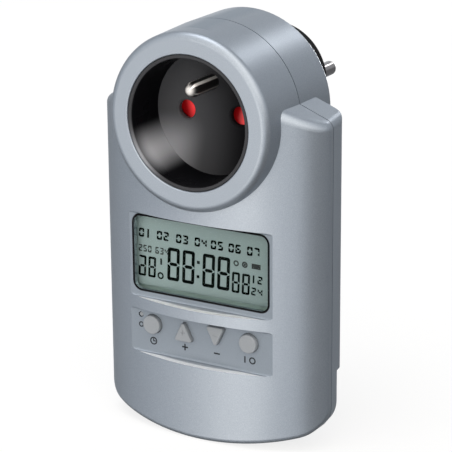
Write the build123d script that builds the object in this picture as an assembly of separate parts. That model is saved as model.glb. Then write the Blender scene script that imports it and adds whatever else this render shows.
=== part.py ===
from build123d import *
import os
from math import cos, radians, sin, sqrt, tan

# A weekly timer that plugs into a wall outlet and switches the outlet on its own front.
# Everything is in millimetres. The origin is the centre of the plug's face, between its two mains pins.
# +Y points into the wall, +Z is up and +X is to the right for someone who reads the display.

# Mains interface: a 16 A outlet with an earth pin on the front, and the plug that fits one on the back
pin_pitch = 19.0
pin_radius = 2.4
pin_length = 19.0
pin_tip_round = 1.2
pin_shank_radius = 2.2
pin_recess_radius = 2.8
pin_recess_depth = 0.4
earth_offset = 10.0
earth_pin_length = 14.0
entry_radius = 3.0
entry_chamfer = 0.5
recess_radius = 19.95
recess_depth = 15.5
recess_floor = 2.0
mouth_radius = 20.4
lip_width = 1.1
lip_sink = 0.25
lip_round = 0.3
sleeve_wall = 0.7
sleeve_room = 1.5
sleeve_base = 1.0
sleeve_slit = 0.8
sleeve_slit_start = 3.0
plug_side_wall = 4.1
plug_taper = 0.3
plug_face_round = 0.8
plug_depth = 18.0
plug_face_wall = 5.5
earth_hole_radius = 2.9

# Head: the round housing behind the outlet
head_depth = 39.5
head_front_radius = 28.4
head_radius = 29.2
head_rear_radius = 29.2
ring_edge_round = 2.4
ring_wall = 2.5
ring_bore_round = 0.4
head_rear_round = 0.8
socket_drop = 3.0
parting_depth = 19.5

# Body: the case below and beside the head
wall = 2.0
body_half_width = 40.4
foot_room = 7.1
foot_arc_radius = 127.0
foot_corner_radius = 9.5
front_bow = 16.5
bow_margin = 0.2
shoulder_rise = 0.8
shoulder_slope = 21.5
shoulder_corner_radius = 3.5
shoulder_front_round = 3.45
foot_front_round = 1.6
rear_depth = 30.0
rear_foot_depth = 27.5
rear_step_drop = 81.3
rear_draft = 0.12
rear_edge_round = 4.4
lip_height = 1.5
lip_thickness = 0.9
seam_gap = 0.4
seam_depth = 0.8

# Display window and key panel, both flat and sunk into the bowed front
panel_depth = 6.9
panel_wall = 1.8
panel_draft = 5.0
panel_round = 0.8
window_drop = 46.5
window_height = 25.6
window_side_margin = 1.6
window_top_margin = 0.5
window_bottom_margin = 2.1
window_corner = 2.6
bridge_height = 4.2
window_flange = 1.0
window_flange_thickness = 0.8
window_sink = 0.3
lcd_gap = 0.2
lcd_thickness = 2.2
lcd_over_width = 0.8
lcd_over_height = 2.4
lcd_ledge = 2.0
holder_wall = 1.2
holder_corner = 1.0
zebra_height = 2.0
zebra_rise = 0.4
backing_room = 0.4

# Keys
key_top_margin = 4.8
key_bottom_margin = 9.8
key_side_margin = 8.4
key_radius = 3.15
key_rise = 1.5
key_edge_round = 0.45
key_travel = 0.6
arrow_height = 7.1
arrow_base = 6.9
arrow_corner = 0.7
flange_reach = 0.55
flange_thickness = 0.8
reset_side_margin = 3.8
reset_rise = 2.5
reset_radius = 0.8
reset_sink = 0.25
switch_size = 6.0
switch_height = 3.5
switch_stem_radius = 1.65
switch_stem_length = 2.7
reset_switch_size = 3.2
reset_flange_reach = 0.5
reset_round = 0.25
switch_floor = 0.8
stem_rise = 1.0

# Clearances
slide_gap = 0.15
turn_gap = 0.1
seat_gap = 0.1
pin_gap = 0.05
rest_gap = 0.05
over = 1.0

# Boards
board_thickness = 1.6
board_corner = 1.0
display_board_depth = 14.4
display_board_margin = 3.2
display_board_foot = 1.3
power_board_depth = 22.4
power_board_side = 11.4
power_board_gap = 9.0
power_board_foot = 1.0
board_post_radius = 2.2
board_screw_radius = 1.1
board_screw_head = 1.9
board_screw_length = 5.0
board_screw_height = 1.2
post_hole = 4.0
display_post_side = 2.5
display_post_gap = 0.1
display_post_ends = (4.0, 3.0)
power_post_side = 3.0
power_post_ends = (4.0, 6.0)

# Case screws
screw_radius = 1.4
screw_head_radius = 2.7
screw_head_height = 1.8
screw_post_radius = 3.4
screw_bite = 5.0
screw_slot_width = 0.8
screw_slot_length = 3.6
screw_slot_depth = 1.0
thread_bite = 0.2
upper_screw_side = 6.4
upper_screw_below = 7.8
lower_screw_side = 7.4
lower_screw_rise = 15.6

# Socket insides
block_radius = 24.0
block_flat_drop = 20.0
seat_tube_thickness = 1.4
shutter_room = 3.0
shutter_recess_radius = 15.0
shutter_hub_radius = 2.4
shutter_ring = 2.2
shutter_pad_radius = 3.7
shutter_thin = 0.9
shutter_arm = 4.4
spring_wire = 0.45
spring_strip = 0.36
spring_turns = 2.5
spring_open = 1.15
spring_start = 0.27
spring_clear = 0.02
leaf_thickness = 0.6
leaf_width = 6.0
leaf_room = 0.7
leaf_squeeze = 0.05
leaf_flare = 0.85
leaf_spread = 0.5
leaf_pinch_share = 0.22
leaf_back_share = 0.6
tail_width = 3.6
tail_fall = 1.4
tail_lap = 3.0
contact_room_x = 7.4
contact_room_z = 8.4
contact_base_thickness = 0.8
bar_thickness = 0.8
bar_width = 4.6
bar_fall = 3.3
bar_lap = 4.0
branch_drop = 3.0
rivet_radius = 1.7
rivet_head_radius = 2.3
rivet_head = 0.9
plug_flange_radius = 21.5
plug_flange_thickness = 2.5
earth_strip_width = 8.0
earth_strip_thickness = 0.8
earth_groove = 1.0
earth_crown = 0.6
earth_strip_end = 2.2
plug_web = 0.6
notch_room = 0.3
guide_notch_width = 5.6
guide_notch_depth = 2.3

# Relay on the power board
relay_side = 16.0
relay_width = 20.0
relay_height = 15.0
relay_reach = 12.5
relay_skin = 0.8
relay_corner = 0.6
relay_base_thickness = 1.6
relay_gap = 1.0
yoke_width = 8.4
yoke_length = 12.0
yoke_rise = 6.0
yoke_thickness = 1.0
yoke_x_shift = 1.0
coil_x_shift = 1.6
coil_radius = 4.2
coil_flange = 0.5
core_radius = 1.5
winding_gap = 0.02
armature_thickness = 0.8
armature_length = 12.6
armature_width = 7.0
armature_gap = 0.6
ear_thickness = 0.6
ear_reach = 1.0
hinge_pin_radius = 0.5
post_width = 1.4
post_thickness = 1.0
post_x_shift = 8.4
post_z_shift = 4.6

# Smaller parts on the boards
capacitor_height = 11.0
capacitor_reach = 8.0
capacitor_gap = 1.5
varistor_radius = 4.6
varistor_thickness = 3.6
varistor_gap = 4.2
varistor_side = 7.5
varistor_round = 1.2
resistor_radius = 2.0
resistor_length = 10.0
resistor_round = 0.7
resistor_x = 14.0
can_radius = 3.15
can_reach = 5.4
can_round = 0.4
can_x = 4.0
supply_rise = 17.0
chip_radius = 6.5
chip_reach = 1.6
chip_round = 1.2
quartz_radius = 1.05
quartz_length = 6.0
quartz_round = 0.25
quartz_side = 18.0
cell_radius = 6.0
cell_reach = 5.2
cell_rim = 0.5
cell_side = 15.0
header_pins = 6
header_pitch = 2.54
header_bar = 2.5
header_pin_width = 0.64
header_side = 15.0
header_rise = 7.5

# Places worked out from the sizes above
sleeve_radius = pin_radius + sleeve_wall
plug_hollow_radius = earth_offset + sleeve_radius + sleeve_room
plug_radius = plug_hollow_radius + plug_side_wall
bow_half_width = body_half_width + bow_margin
panel_half = bow_half_width * sqrt(1 - ((parting_depth - panel_depth) / front_bow) ** 2)
window_width = 2 * (panel_half - window_side_margin)
window_recess_top = window_drop - window_height / 2 - window_top_margin
window_recess_bottom = window_drop + window_height / 2 + window_bottom_margin
key_recess_top = window_recess_bottom + bridge_height
key_drop = key_recess_top + key_top_margin
key_recess_bottom = key_drop + key_bottom_margin
key_pitch = (panel_half - key_side_margin) / 1.5
reset_x = panel_half - reset_side_margin
reset_drop = key_drop - reset_rise
display_board_top = window_drop - window_height / 2 - display_board_margin
display_board_bottom = key_recess_bottom + display_board_foot
display_post_drops = (display_board_top + display_post_ends[0],
                      display_board_bottom - display_post_ends[1])
relay_drop = display_board_bottom + relay_gap + relay_height / 2
power_board_top = block_flat_drop + power_board_gap
power_board_bottom = relay_drop + relay_height / 2 + power_board_foot
power_board_width = 2 * (body_half_width - power_board_side)
power_post_x = power_board_width / 2 - power_post_side
relay_x = relay_side - power_board_width / 2
varistor_x = power_board_width / 2 - varistor_side
capacitor_low_x = relay_x + relay_width / 2 + capacitor_gap
capacitor_high_x = varistor_x - varistor_thickness / 2 - varistor_gap
power_post_drops = (power_board_top + power_post_ends[0], power_board_bottom - power_post_ends[1])
body_drop = power_board_bottom + foot_room
ring_front_y = -(plug_depth + head_depth)
head_rear_y = -plug_depth
parting_y = ring_front_y + parting_depth
socket_z = -socket_drop
body_bottom = socket_z - body_drop
shoulder_z = socket_z + shoulder_rise
pin_x = pin_pitch / 2
panel_y = ring_front_y + panel_depth
panel_back_y = panel_y + panel_wall
display_board_y = ring_front_y + display_board_depth
power_board_y = ring_front_y + power_board_depth
floor_y = ring_front_y + recess_depth
floor_back_y = floor_y + recess_floor
plug_flange_y = head_rear_y - wall - plug_flange_thickness
block_back_y = plug_flange_y
plug_floor_y = -plug_face_wall
bore_radius = mouth_radius + lip_width + seat_gap
rear_foot_y = ring_front_y + rear_foot_depth
rear_y = ring_front_y + rear_depth
rear_step_z = socket_z - rear_step_drop
earth_pin_z = socket_z + earth_offset
key_z = socket_z - key_drop
relay_z = socket_z - relay_drop
relay_foot_y = power_board_y - relay_base_thickness
coil_end_y = relay_foot_y - yoke_thickness - yoke_rise
yoke_x = relay_x - yoke_x_shift
coil_x = relay_x - coil_x_shift
armature_x = yoke_x + yoke_length / 2
armature_pivot_x = armature_x - yoke_thickness / 2
armature_pivot_y = coil_end_y - armature_gap - armature_thickness / 2
display_back_y = display_board_y + board_thickness
power_back_y = power_board_y + board_thickness
window_z = socket_z - window_drop
lcd_y = panel_back_y + window_flange_thickness + lcd_gap
lcd_back_y = lcd_y + lcd_thickness
lcd_height = window_height + lcd_over_height
lcd_width = window_width + lcd_over_width
display_post_x = lcd_width / 2 + holder_wall + display_post_gap + board_post_radius
display_board_width = 2 * (display_post_x + display_post_side)
cell_x = cell_side - display_board_width / 2
header_x = header_side - display_board_width / 2
quartz_x = display_board_width / 2 - quartz_side
lcd_low = window_z - lcd_height / 2
lcd_high = window_z + lcd_height / 2
switch_front_y = display_board_y - switch_height
lip_y = parting_y - lip_height
far = 400.0


def slab_y(sketch, near, away):
    """Extrude a sketch drawn in X and Z from y = near to y = away."""
    plane = Plane(origin=(0, away, 0), x_dir=(1, 0, 0), z_dir=(0, -1, 0))
    return extrude(plane * sketch, away - near)


def slab_x(sketch, low, high):
    """Extrude a sketch drawn in Y and Z from x = low to x = high."""
    plane = Plane(origin=(low, 0, 0), x_dir=(0, 1, 0), z_dir=(1, 0, 0))
    return extrude(plane * sketch, high - low)


def rod(radius, near, away, x=0.0, z=0.0):
    """A round bar along Y."""
    return slab_y(Pos(x, z) * Circle(radius), near, away)


def turned(points, x=0.0, z=0.0):
    """A piece turned about a line along Y; the points are (radius, y)."""
    return Pos(x, 0, z) * revolve(make_face(Polyline(*points, close=True)), Axis.Y)


def plate(width, height, near, away, x=0.0, z=0.0, corner=0.0):
    """A flat rectangular plate that faces along Y, with its corners rounded if corner is given."""
    shape = RectangleRounded(width, height, corner) if corner else Rectangle(width, height)
    return slab_y(Pos(x, z) * shape, near, away)


def bent_strip(route, thickness, x_low, x_high):
    """Sheet metal bent along a route of (y, z) points."""
    return slab_x(trace(Polyline(*route), thickness), x_low, x_high)


def body_outline(inset=0.0, draft=0.0):
    """The body seen from the front: upright sides, a bowed foot and shoulders that slope down outwards.

    The inset moves the whole outline inwards, and the draft only the sides and the foot.
    """
    side_inset = inset + draft
    half = body_half_width - side_inset
    slope = tan(radians(shoulder_slope))
    drop = inset / cos(radians(shoulder_slope))
    corner_z = shoulder_z - drop + side_inset * slope
    apex_z = shoulder_z - drop + body_half_width * slope
    low = body_bottom - foot_corner_radius
    gable = make_face(Polyline((-half, low), (half, low), (half, corner_z), (0, apex_z), (-half, corner_z),
                               close=True))
    foot = Pos(0, body_bottom + foot_arc_radius) * Circle(foot_arc_radius - side_inset)
    outline = gable & foot
    by_height = outline.vertices().sort_by(Axis.Y)
    outline = fillet(by_height[0:2], foot_corner_radius - side_inset)
    corners = [v for v in outline.vertices() if abs(v.Y - corner_z) < 0.01]
    return fillet(corners, shoulder_corner_radius - inset)


def case_section(inset=0.0):
    """The outline of the whole case at the parting plane."""
    return body_outline(inset) + Pos(0, socket_z) * Circle(head_radius - inset)


def bowed_body(inset=0.0):
    """The front half of the body: its outline, bowed towards the reader as half an ellipse."""
    plan = Ellipse(bow_half_width - inset, front_bow - inset)
    plan &= Pos(0, -front_bow) * Rectangle(far, 2 * front_bow)
    bow = extrude(Pos(0, parting_y, body_bottom) * plan, body_drop + head_radius)
    return slab_y(body_outline(inset), parting_y - front_bow, parting_y) & bow


def rounded_bow(rounding):
    """The front half of the body with its front edges rounded, except at the apex, which the head covers."""
    body = bowed_body()
    rim = [e for e in body.edges()
           if e.center().Y < parting_y - seat_gap / 2 and (abs(e.center().X) > over or e.center().Z < 0)]
    return fillet(rim, rounding)


def rear_block(depth, inset=0.0):
    """The rear half of the body, which tapers towards the wall; only its shoulders end in a sharp edge."""
    length = depth - parting_depth
    end_y = parting_y + length
    draft = rear_draft * length
    start = Plane(origin=(0, parting_y, 0), x_dir=(1, 0, 0), z_dir=(0, -1, 0))
    end = Plane(origin=(0, end_y, 0), x_dir=(1, 0, 0), z_dir=(0, -1, 0))
    block = loft([start * body_outline(inset), end * body_outline(inset, draft)])
    half = body_half_width - inset
    end_half = half - draft
    plan = make_face(Polyline((-half, parting_y), (half, parting_y), (end_half, end_y), (-end_half, end_y),
                              close=True))
    plan = fillet(plan.vertices().sort_by(Axis.Y)[2:], rear_edge_round - inset)
    shoulders = block & extrude(Pos(0, 0, window_z) * plan, far)
    foot = block - above(window_z)
    rim = [e for e in foot.faces().sort_by(Axis.Y)[-1].edges() if e.center().Z < window_z - over]
    return shoulders + fillet(rim, rear_edge_round - inset)


def above(z):
    """Everything higher than z."""
    return Pos(0, 0, z) * Box(far, far, far, align=(Align.CENTER, Align.CENTER, Align.MIN))


def back_wall_y(z):
    """The inner side of the rear wall at a height."""
    return (rear_y if z > rear_step_z + wall else rear_foot_y) - wall


def panel_cut(top, bottom):
    """The space in front of a flat panel, a little wider at its mouth."""
    reach = panel_depth + over
    spread = reach * tan(radians(panel_draft))
    mouth_y = panel_y - reach
    z_top = socket_z - top
    z_low = socket_z - bottom
    profile = make_face(Polyline((panel_y, z_top), (mouth_y, z_top + spread), (mouth_y, z_low - spread),
                                 (panel_y, z_low), close=True))
    inner = [v for v in profile.vertices() if abs(v.X - panel_y) < 0.01]
    return slab_x(fillet(inner, panel_round), -panel_half - wall, panel_half + wall)


def window_shape(margin=0.0):
    """The outline of the display window."""
    return Pos(0, window_z) * RectangleRounded(window_width + 2 * margin, window_height + 2 * margin,
                                               window_corner + margin)


def arrow_shape(pointing, margin=0.0):
    """A triangle with rounded corners about its own middle; pointing is 1 for up and -1 for down."""
    half_base = arrow_base / 2
    tip = arrow_height / 2
    corners = [(-half_base, -tip * pointing), (half_base, -tip * pointing), (0, tip * pointing)]
    face = make_face(Polyline(*corners, close=True))
    shape = fillet(face.vertices(), arrow_corner)
    return offset(shape, margin) if margin else shape


key_places = {
    "mode": (-1.5 * key_pitch, Circle(key_radius), Circle(key_radius + slide_gap)),
    "up": (-0.5 * key_pitch, arrow_shape(1), arrow_shape(1, slide_gap)),
    "down": (0.5 * key_pitch, arrow_shape(-1), arrow_shape(-1, slide_gap)),
    "ok": (1.5 * key_pitch, Circle(key_radius), Circle(key_radius + slide_gap)),
}
case_screw_places = [(side * x, z) for side in (-1, 1)
                     for x, z in ((body_half_width - upper_screw_side, shoulder_z - upper_screw_below),
                                  (body_half_width - lower_screw_side, body_bottom + lower_screw_rise))]
display_posts = [(side * display_post_x, socket_z - drop) for side in (-1, 1) for drop in display_post_drops]
power_posts = [(side * power_post_x, socket_z - drop) for side in (-1, 1) for drop in power_post_drops]


def front_shell():
    """The front half of the case: ring, bowed front, panels, and posts for the board and the case screws."""
    body = rounded_bow(shoulder_front_round) & above(window_z)
    body += rounded_bow(foot_front_round) - above(window_z)
    profile = [(0, ring_front_y), (head_front_radius, ring_front_y), (head_radius, parting_y), (0, parting_y)]
    head = turned(profile, z=socket_z)
    head = fillet(head.edges().filter_by(GeomType.CIRCLE).sort_by(Axis.Y)[0], ring_edge_round)
    outer = body + head
    low_panel = socket_z - key_recess_bottom - panel_wall
    top_panel = socket_z - window_recess_top + panel_wall
    backing = plate(2 * (panel_half + panel_wall), top_panel - low_panel, ring_front_y, panel_back_y,
                    z=(low_panel + top_panel) / 2)
    hollow = bowed_body(wall) - backing
    hollow += rod(head_radius - wall, ring_front_y + ring_wall, parting_y, z=socket_z)
    shell = outer - hollow
    shell += rod(bore_radius + seat_tube_thickness, ring_front_y + ring_wall, floor_y, z=socket_z)
    for x, z in case_screw_places:
        shell += rod(screw_post_radius, parting_y - front_bow, lip_y, x, z) & outer
        shell -= rod(screw_radius - thread_bite, lip_y - screw_bite - over, parting_y, x, z)
    for x, z in display_posts:
        shell += rod(board_post_radius, parting_y - front_bow, display_board_y, x, z) & outer
        shell -= rod(board_screw_radius - thread_bite, display_board_y - post_hole, display_board_y, x, z)
    shell -= slab_y(case_section(wall - lip_thickness - seat_gap), lip_y - seat_gap, parting_y)
    shell -= rod(bore_radius, ring_front_y, parting_y, z=socket_z)
    shell -= panel_cut(window_recess_top, window_recess_bottom)
    shell -= panel_cut(key_recess_top, key_recess_bottom)
    shell -= slab_y(window_shape(seat_gap), ring_front_y, panel_back_y)
    shell -= slab_y(window_shape(window_flange + seat_gap), panel_back_y, parting_y)
    for x, _, hole in key_places.values():
        shell -= slab_y(Pos(x, key_z) * hole, panel_y - over, panel_back_y)
    shell -= rod(reset_radius + slide_gap, panel_y - over, panel_back_y, -reset_x, socket_z - reset_drop)
    mouth = [e for e in shell.edges().filter_by(GeomType.CIRCLE)
             if abs(e.center().Y - ring_front_y) < 0.01 and abs(e.radius - bore_radius) < 0.01]
    return fillet(mouth, ring_bore_round)


def rear_shell():
    """The rear half of the case, with the seat for the plug and tubes for the case screws."""
    profile = [(0, parting_y), (head_radius, parting_y), (head_rear_radius, head_rear_y), (0, head_rear_y)]
    head = turned(profile, z=socket_z)
    head = fillet(head.edges().filter_by(GeomType.CIRCLE).sort_by(Axis.Y)[-1], head_rear_round)
    outer = rear_block(rear_foot_depth) + (rear_block(rear_depth) & above(rear_step_z)) + head
    hollow = rear_block(rear_foot_depth - wall, wall)
    hollow += rear_block(rear_depth - wall, wall) & above(rear_step_z + wall)
    hollow += rod(head_radius - wall, parting_y, head_rear_y - wall, z=socket_z)
    shell = outer - hollow
    shell += slab_y(case_section(wall - lip_thickness) - case_section(wall), lip_y, parting_y + wall)
    shell -= slab_y(case_section(0.0) - case_section(seam_depth), parting_y, parting_y + seam_gap)
    for x, z in case_screw_places:
        shell += rod(screw_post_radius, lip_y, back_wall_y(z) + wall, x, z) & outer
        shell -= rod(screw_radius + slide_gap, lip_y, head_rear_y, x, z)
        shell -= rod(screw_head_radius + slide_gap, parting_y + lip_height, head_rear_y, x, z)
    for x, z in power_posts:
        shell += rod(board_post_radius, power_back_y, back_wall_y(z), x, z)
        shell -= rod(board_screw_radius - thread_bite, power_back_y, power_back_y + post_hole, x, z)
    shell -= rod(plug_radius + seat_gap, head_rear_y - wall - over, head_rear_y + over)
    return shell


def socket_cup():
    """The recess of the outlet: lip, side wall, and a floor holed for the two entries and the earth pin."""
    lip_radius = mouth_radius + lip_width
    rim_y = ring_front_y + lip_sink
    profile = [(mouth_radius, rim_y), (lip_radius, rim_y), (lip_radius, floor_y), (block_radius, floor_y),
               (block_radius, floor_back_y), (0, floor_back_y), (0, floor_y), (recess_radius, floor_y)]
    cup = turned(profile, z=socket_z)
    mouth = [e for e in cup.edges().filter_by(GeomType.CIRCLE) if abs(e.center().Y - rim_y) < 0.01]
    cup = fillet(mouth, lip_round)
    flared = entry_radius + entry_chamfer
    for side in (-1, 1):
        cup -= rod(entry_radius, floor_y, floor_back_y, side * pin_x, socket_z)
        cup -= turned([(0, floor_y), (flared, floor_y), (0, floor_y + flared)], side * pin_x, socket_z)
    cup -= rod(pin_shank_radius + pin_gap, floor_y, floor_back_y, 0, earth_pin_z)
    return cup


def contact_block():
    """The insulating block behind the recess, which holds the shutter and both socket contacts."""
    flat = Pos(0, socket_z - block_flat_drop) * Rectangle(far, far, align=(Align.CENTER, Align.MIN))
    block = slab_y((Pos(0, socket_z) * Circle(block_radius)) & flat, floor_back_y, block_back_y)
    recess_end = floor_back_y + shutter_room
    block -= rod(shutter_recess_radius, floor_back_y, recess_end, 0, socket_z)
    block += rod(shutter_hub_radius, floor_back_y, recess_end, 0, socket_z)
    groove = rod(spring_outer() + turn_gap, recess_end, recess_end + spring_length(), 0, socket_z)
    groove -= rod(shutter_hub_radius, recess_end, recess_end + spring_length(), 0, socket_z)
    block -= groove
    for side in (-1, 1):
        block -= plate(contact_room_x, contact_room_z, recess_end, block_back_y, side * pin_x, socket_z)
    tail_room = contact_base_thickness + 2 * seat_gap
    x_low, x_high = live_tail_x()
    block -= plate(x_high - x_low + 2 * notch_room, block_flat_drop + 2 * over, block_back_y - tail_room,
                   block_back_y, (x_low + x_high) / 2, socket_z - block_flat_drop / 2 + over)
    block -= rod(pin_shank_radius + pin_gap, floor_back_y, block_back_y, 0, earth_pin_z)
    block -= plate(bar_width + 2 * seat_gap, bar_thickness + 2 * seat_gap, block_back_y - tail_room,
                   block_back_y, -pin_x, socket_z - branch_drop)
    return block


def spring_outer():
    """Outside radius of the shutter's spring, on the hub."""
    return shutter_hub_radius + spring_clear + spring_wire


def spring_length():
    """Length of the shutter's spring along the hub."""
    return (spring_turns + 1) * spring_wire * spring_open


def live_tail_x():
    """Where the tail of the live contact leaves sideways: low and high x."""
    return pin_x - leaf_width / 2 - tail_width, pin_x - leaf_width / 2


def shutter():
    """The child-safety shutter: a ring on the hub with two arms, and ramped pads behind the entry holes."""
    front = floor_back_y + turn_gap
    back = floor_back_y + shutter_room - turn_gap
    ring_radius = shutter_hub_radius + turn_gap + shutter_ring
    shape = Pos(0, socket_z) * (Rectangle(pin_pitch, shutter_arm) + Circle(ring_radius))
    for side in (-1, 1):
        shape += Pos(side * pin_x, socket_z) * Circle(shutter_pad_radius)
    piece = slab_y(shape, front, back)
    piece -= rod(shutter_hub_radius + turn_gap, front, back, 0, socket_z)
    ramp_run = 2 * shutter_pad_radius
    ramp_rise = back - front - shutter_thin
    for side in (-1, 1):
        low = socket_z - side * shutter_pad_radius
        high = socket_z + side * shutter_pad_radius
        wedge = make_face(Polyline((front - over, low), (front, low), (front + ramp_rise, high),
                                   (front - over, high), close=True))
        inner = pin_x - shutter_pad_radius
        edges = sorted((side * inner, side * (inner + ramp_run + over)))
        piece -= slab_x(wedge, *edges)
    return piece


def shutter_spring():
    """A small torsion spring round the hub that turns the shutter back."""
    start_y = floor_back_y + shutter_room + spring_start
    radius = shutter_hub_radius + spring_clear + spring_wire / 2
    pitch = spring_wire * spring_open
    path = Helix(pitch=pitch, height=pitch * spring_turns, radius=radius)
    section = Plane(path @ 0, z_dir=path % 0) * Rectangle(spring_strip, spring_strip)
    coil = sweep(section, path, is_frenet=True)
    return Pos(0, start_y, socket_z) * Rot(-90, 0, 0) * coil


def contact(side, tail):
    """A socket contact: two sprung leaves on a base, and for the live one a tail to the side."""
    leaf_y = floor_back_y + shutter_room + leaf_room
    base_y = block_back_y - seat_gap - contact_base_thickness
    pinch = pin_radius - leaf_squeeze + leaf_thickness / 2
    flare = pin_radius + leaf_flare
    back = pin_radius + leaf_spread
    span = base_y - leaf_y
    half = trace(Polyline((flare, leaf_y), (pinch, leaf_y + span * leaf_pinch_share),
                          (back, leaf_y + span * leaf_back_share),
                          (back, base_y + contact_base_thickness / 2)), leaf_thickness)
    leaves = half + mirror(half, Plane.YZ)
    piece = extrude(leaves, leaf_width / 2, both=True)
    piece = Pos(side * pin_x, 0, socket_z) * piece
    piece += plate(2 * back + leaf_thickness, leaf_width, base_y, base_y + contact_base_thickness,
                   side * pin_x, socket_z)
    if tail:
        x_low, x_high = live_tail_x()
        arm_low, arm_high = x_low, pin_x - back
        piece += plate(arm_high - arm_low, leaf_width / 2, base_y, base_y + contact_base_thickness,
                       (arm_low + arm_high) / 2, socket_z - leaf_width / 4)
        middle = base_y + contact_base_thickness / 2
        board_y = power_board_y - contact_base_thickness / 2
        bend_z = socket_z - block_flat_drop - tail_fall
        route = [(middle, socket_z - over), (middle, bend_z), (board_y, bend_z),
                 (board_y, socket_z - power_board_top - tail_lap)]
        piece += bent_strip(route, contact_base_thickness, x_low, x_high)
    return piece


def feed_route():
    """The way of a feed bar from the inner end of a plug pin to the top of the power board, as (y, z)."""
    rivet_y = plug_floor_y - bar_thickness / 2
    inner_z = bar_thickness / 2 + slide_gap - sqrt(plug_hollow_radius ** 2 - (pin_x + bar_width / 2) ** 2)
    down_y = plug_flange_y + plug_flange_thickness / 2
    under_z = socket_z - block_flat_drop - bar_fall
    board_y = power_board_y - bar_thickness / 2
    return [(rivet_y, pin_radius), (rivet_y, inner_z), (down_y, inner_z), (down_y, under_z),
            (board_y, under_z), (board_y, socket_z - power_board_top - bar_lap)]


def feed_bar(side):
    """A feed bar bent from strip."""
    x = side * pin_x
    return bent_strip(feed_route(), bar_thickness, x - bar_width / 2, x + bar_width / 2)


def neutral_bar():
    """The neutral feed bar, with a branch straight to the socket's neutral contact."""
    contact_y = block_back_y - seat_gap
    branch = plate(bar_width, bar_thickness, contact_y, plug_floor_y - bar_thickness / 2, -pin_x,
                   socket_z - branch_drop)
    return feed_bar(-1) + branch


def plug_pin(side):
    """A solid pin of the plug, with a shoulder behind the face and a riveted end."""
    tip = pin_length
    rivet = plug_floor_y - bar_thickness
    points = [(0, tip), (pin_radius, tip), (pin_radius, 0), (pin_shank_radius, 0),
              (pin_shank_radius, plug_floor_y), (rivet_radius, plug_floor_y),
              (rivet_radius, rivet), (rivet_head_radius, rivet), (rivet_head_radius, rivet - rivet_head),
              (0, rivet - rivet_head)]
    pin = turned(points, x=side * pin_x)
    end = [e for e in pin.edges().filter_by(GeomType.CIRCLE) if abs(e.center().Y - tip) < 0.01]
    return fillet(end, pin_tip_round)


def bar_with_rivet_hole(bar, side):
    """The bar, holed for the riveted end of its pin."""
    return bar - rod(rivet_radius, plug_floor_y - 2 * bar_thickness, plug_floor_y, side * pin_x, 0)


def plug_base():
    """The round plug body: a thick face, a hollow back with a flange, notches and grooves in its side."""
    base_y = plug_flange_y
    step_y = base_y + plug_flange_thickness
    profile = [(0, base_y), (plug_flange_radius, base_y), (plug_flange_radius, step_y), (plug_radius, step_y),
               (plug_radius, head_rear_y), (plug_radius - plug_taper, 0), (0, 0)]
    base = turned(profile)
    rim = [e for e in base.edges().filter_by(GeomType.CIRCLE) if abs(e.center().Y) < 0.01]
    base = fillet(rim, plug_face_round)
    base -= rod(plug_hollow_radius, base_y, plug_floor_y)
    notch_low = -plug_flange_radius - over
    groove_depth = earth_groove + earth_strip_thickness
    strip_room = earth_strip_width + 2 * slide_gap
    slot_y = earth_cross_y() - earth_strip_thickness / 2 - seat_gap
    slot_end = slot_y + earth_strip_thickness + 2 * seat_gap
    for side in (-1, 1):
        base -= plate(bar_width + 2 * (slide_gap + notch_room), -notch_low, base_y, step_y, side * pin_x,
                      notch_low / 2)
        base -= rod(pin_recess_radius, -pin_recess_depth, 0, side * pin_x, 0)
        base -= rod(pin_shank_radius + pin_gap, plug_floor_y, 0, side * pin_x, 0)
        notch_x = plug_radius - plug_taper - guide_notch_depth
        base -= plate(guide_notch_depth + 2 * over, guide_notch_width, head_rear_y + plug_web, over,
                      side * (notch_x + guide_notch_depth / 2 + over), 0)
        base -= plate(strip_room, groove_depth + 2 * over, head_rear_y + plug_web, over,
                      0, side * (plug_radius - groove_depth / 2 + over))
        base -= plate(strip_room, plug_side_wall + 2 * over, slot_y, slot_end, 0,
                      side * (plug_radius - plug_side_wall / 2))
    base -= rod(earth_hole_radius, plug_floor_y, 0, 0, earth_offset)
    return base


def earth_cross_y():
    """Where the earth strip crosses the inside of the plug."""
    return head_rear_y + plug_web + earth_strip_thickness / 2 + seat_gap


def plug_earth_spring():
    """One bent strip: the side contacts at the top and bottom of the plug and the bridge between them."""
    cross_y = earth_cross_y()
    out = plug_radius - earth_groove - earth_strip_thickness / 2 + rest_gap
    crown = out + earth_crown
    middle = head_rear_y / 2
    end = -earth_strip_end
    route = [(end, -out), (middle, -crown), (cross_y, -out), (cross_y, out), (middle, crown), (end, out)]
    strip = bent_strip(route, earth_strip_thickness, -earth_strip_width / 2, earth_strip_width / 2)
    return strip - rod(rivet_radius, cross_y - over, cross_y + over, 0, earth_pin_z)


def plug_earth_sleeve():
    """The slit sleeve behind the plug's earth hole, which grips the earth pin of the wall outlet."""
    back = plug_floor_y - seat_gap
    front = earth_cross_y() + earth_strip_thickness / 2
    sleeve = rod(sleeve_radius, front, back, 0, earth_offset)
    sleeve -= rod(pin_radius, front + sleeve_base, back, 0, earth_offset)
    return sleeve - plate(sleeve_slit, sleeve_radius, front + sleeve_slit_start, back, 0,
                          earth_offset - sleeve_radius / 2)


def socket_earth_pin():
    """The earth pin that stands in the recess, with a domed tip and a riveted end in the earth strip."""
    tip = floor_y - earth_pin_length
    end = earth_cross_y() - earth_strip_thickness / 2
    arc_mid = (pin_radius * sin(radians(45)), tip + pin_radius * (1 - cos(radians(45))))
    dome = ThreePointArc((0, tip), arc_mid, (pin_radius, tip + pin_radius))
    back = end + earth_strip_thickness
    tail = Polyline((pin_radius, tip + pin_radius), (pin_radius, floor_y), (pin_shank_radius, floor_y),
                    (pin_shank_radius, end), (rivet_radius, end), (rivet_radius, back), (0, back), (0, tip))
    return Pos(0, 0, earth_pin_z) * revolve(make_face([dome, tail]), Axis.Y)


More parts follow.
